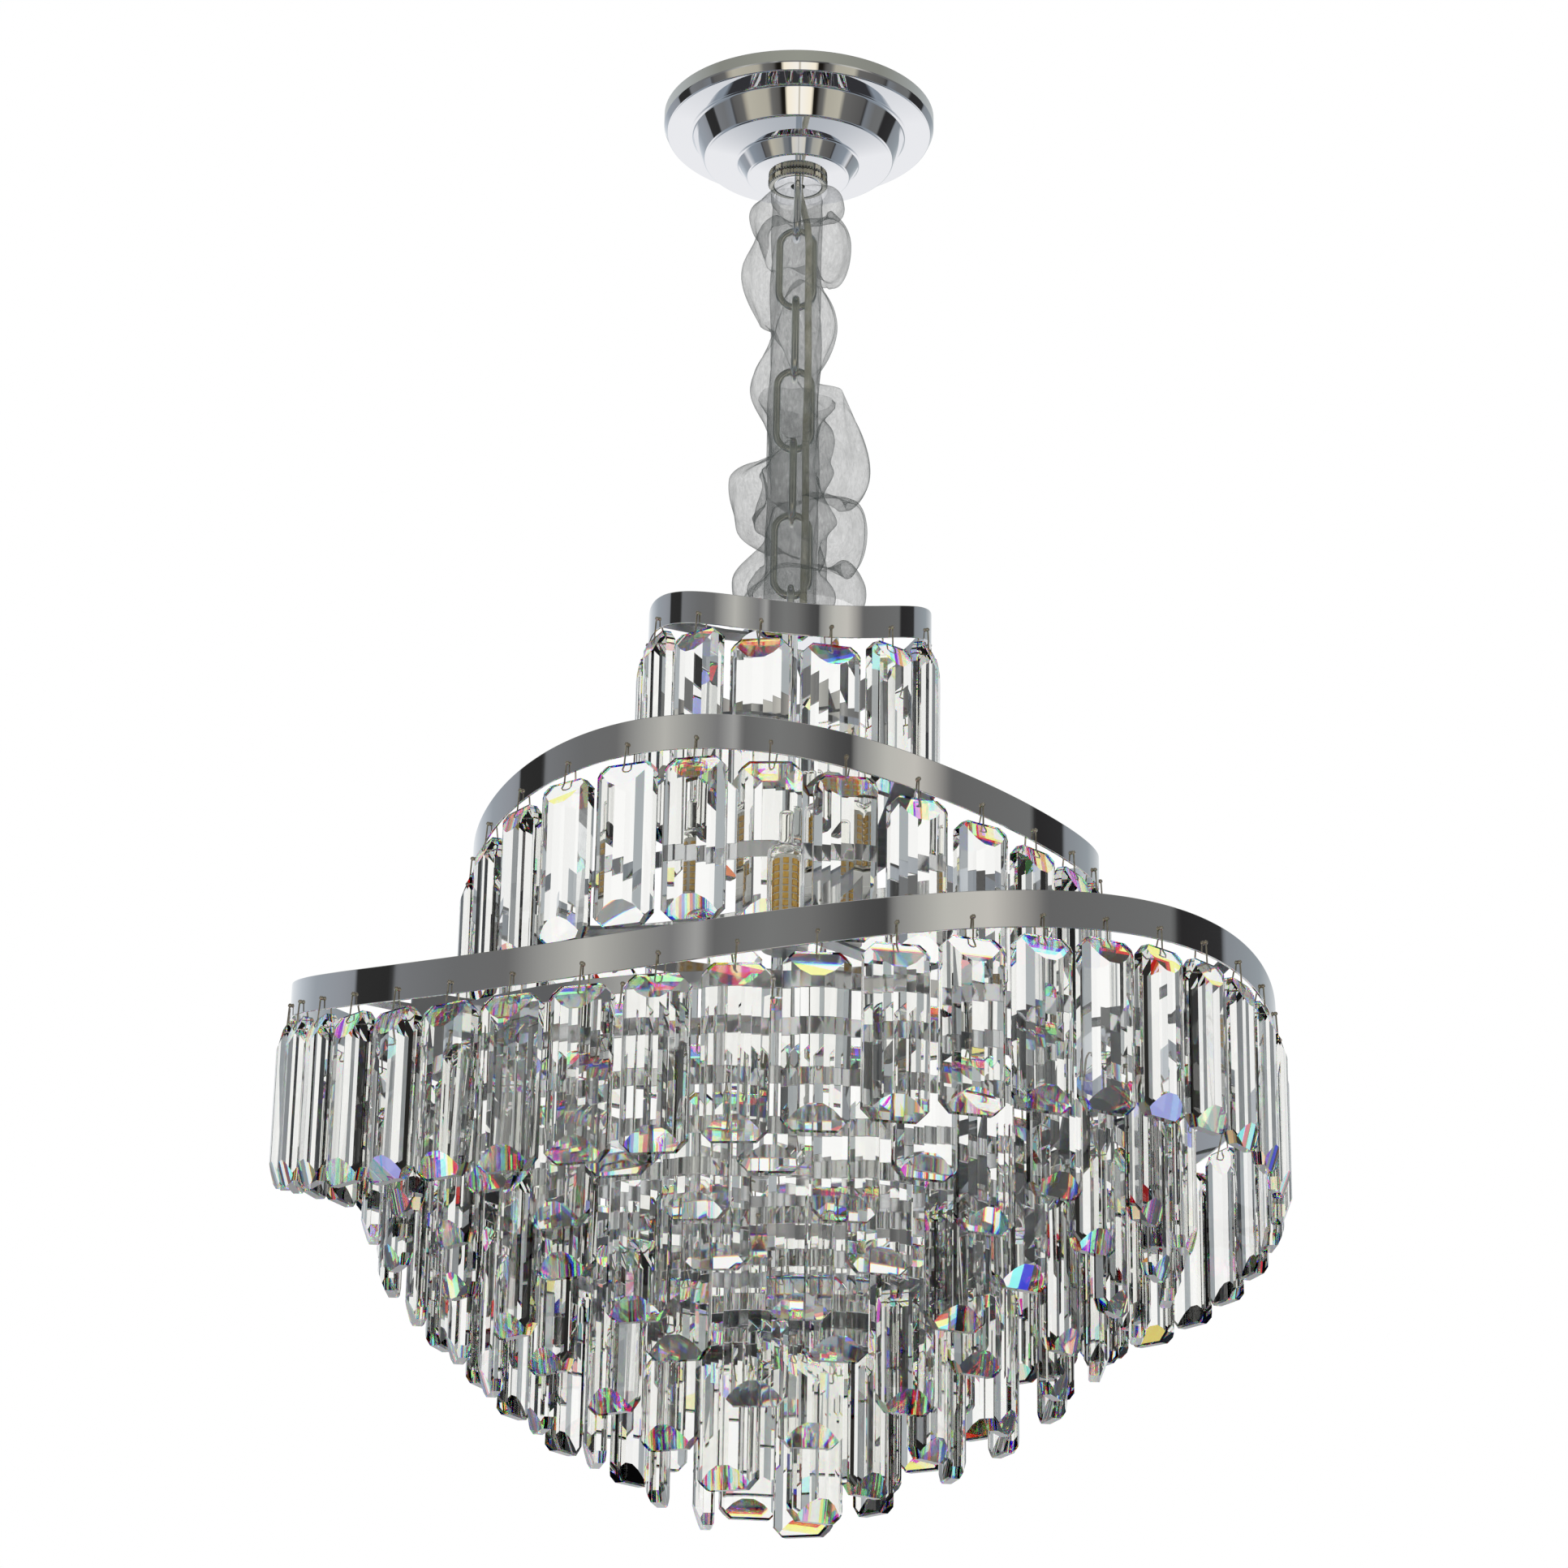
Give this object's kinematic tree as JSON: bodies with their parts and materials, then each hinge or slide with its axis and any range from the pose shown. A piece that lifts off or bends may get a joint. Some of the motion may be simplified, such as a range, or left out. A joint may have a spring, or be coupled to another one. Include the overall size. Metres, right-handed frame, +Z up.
{
  "type": "crystal chandelier",
  "caption": "Hanging crystal chandelier: wavy mirror hoops and an inverted cone of flat hoops hung with cut crystal bars, on a chain in a gathered cloth sleeve under a stepped round canopy.",
  "frame": {"origin": "middle of the ceiling strap's top face, on the chain's axis, at the ceiling", "axes": "+Z up; -Y towards the viewer; the strap lies along X"},
  "size_m": [0.4916, 0.4916, 0.746],
  "materials": {
    "polished_chrome": "mirror polished chrome plate",
    "zinc_steel": "zinc plated steel",
    "polished_strap": "polished steel strip",
    "mirror_band": "mirror polished steel strip",
    "mirror_hoop": "mirror polished steel strip",
    "chain_chrome": "chrome plated wire",
    "crystal_glass": "cut and polished clear crystal",
    "hook_wire": "bright wire",
    "clear_pvc": "translucent sheath over two cores",
    "grey_organza": "sheer woven gauze",
    "white_nylon": "moulded",
    "holder_plastic": "moulded",
    "bulb_cover": "clear cover over yellow light strips"
  },
  "bodies": {
    "root": {"mounting_strap": "zinc_steel", "threaded_tube": "zinc_steel", "strap_nut": "zinc_steel", "terminal_block": "white_nylon", "collar_loop": "polished_chrome"},
    "canopy": {"canopy": "polished_chrome"},
    "lock_ring": {"lock_ring": "polished_chrome"},
    "chain": {"chain_link_1": "chain_chrome", "chain_link_2": "chain_chrome", "chain_link_3": "chain_chrome", "chain_link_4": "chain_chrome", "chain_link_5": "chain_chrome", "supply_cable": "clear_pvc", "sleeve": "grey_organza"},
    "lamp": {"arm_collar": "polished_chrome", "crystal_hooks": "hook_wire", "end_nut": "polished_chrome", "hub_loop": "polished_chrome", "hub_plate": "polished_chrome", "lamp_holders": "holder_plastic", "lower_band_1": "mirror_hoop", "lower_band_2": "mirror_hoop", "lower_band_3": "mirror_hoop", "lower_band_4": "mirror_hoop", "lower_band_5": "mirror_hoop", "lower_band_6": "mirror_hoop", "lower_band_7": "mirror_hoop", "lower_band_8": "mirror_hoop", "lower_band_9": "mirror_hoop", "lower_crystals_1": "crystal_glass", "lower_crystals_2": "crystal_glass", "lower_crystals_3": "crystal_glass", "lower_crystals_4": "crystal_glass", "lower_crystals_5": "crystal_glass", "lower_crystals_6": "crystal_glass", "lower_crystals_7": "crystal_glass", "lower_crystals_8": "crystal_glass", "lower_crystals_9": "crystal_glass", "plain_hoop": "mirror_hoop", "rib_collar": "polished_chrome", "ribs": "polished_strap", "ring_1_arms": "polished_strap", "ring_2_arms": "polished_strap", "ring_3_arms": "polished_strap", "ring_crystals_1": "crystal_glass", "ring_crystals_2": "crystal_glass", "ring_crystals_3": "crystal_glass", "stem": "polished_chrome", "wavy_band_1": "mirror_band", "wavy_band_2": "mirror_band", "wavy_band_3": "mirror_band"},
    "bulb_1": {"bulb_1": "bulb_cover"},
    "bulb_2": {"bulb_2": "bulb_cover"},
    "bulb_3": {"bulb_3": "bulb_cover"},
    "bulb_4": {"bulb_4": "bulb_cover"},
    "bulb_5": {"bulb_5": "bulb_cover"},
    "bulb_6": {"bulb_6": "bulb_cover"}
  },
  "joints": [
    {"name": "canopy_slide", "type": "slide", "parent": "root", "child": "canopy", "axis": [0, 0, -1], "range_m": [0, 0.04], "deforming": ["sleeve"]},
    {"name": "lock_ring_turn", "type": "hinge", "parent": "canopy", "child": "lock_ring", "pos_m": [0, 0, -0.035], "axis": [0, 0, 1], "continuous": true},
    {"name": "chain_swing", "type": "hinge", "parent": "root", "child": "chain", "pos_m": [0, 0, -0.07145], "axis": [0, 1, 0], "range_deg": [-10, 10], "deforming": ["supply_cable", "sleeve"]},
    {"name": "lamp_swing", "type": "hinge", "parent": "chain", "child": "lamp", "pos_m": [0, 0, -0.2747], "axis": [1, 0, 0], "range_deg": [-10, 10], "deforming": ["supply_cable", "sleeve"]},
    {"name": "bulb_1_turn", "type": "hinge", "parent": "lamp", "child": "bulb_1", "pos_m": [0, -0.176, -0.514], "axis": [0, 0, 1], "continuous": true},
    {"name": "bulb_2_turn", "type": "hinge", "parent": "lamp", "child": "bulb_2", "pos_m": [0.15242, 0.088, -0.514], "axis": [0, 0, 1], "continuous": true},
    {"name": "bulb_3_turn", "type": "hinge", "parent": "lamp", "child": "bulb_3", "pos_m": [-0.15242, 0.088, -0.514], "axis": [0, 0, 1], "continuous": true},
    {"name": "bulb_4_turn", "type": "hinge", "parent": "lamp", "child": "bulb_4", "pos_m": [0.01686, -0.0428, -0.45], "axis": [0, 0, 1], "continuous": true},
    {"name": "bulb_5_turn", "type": "hinge", "parent": "lamp", "child": "bulb_5", "pos_m": [0.02864, 0.036, -0.45], "axis": [0, 0, 1], "continuous": true},
    {"name": "bulb_6_turn", "type": "hinge", "parent": "lamp", "child": "bulb_6", "pos_m": [-0.0455, 0.0068, -0.45], "axis": [0, 0, 1], "continuous": true}
  ]
}
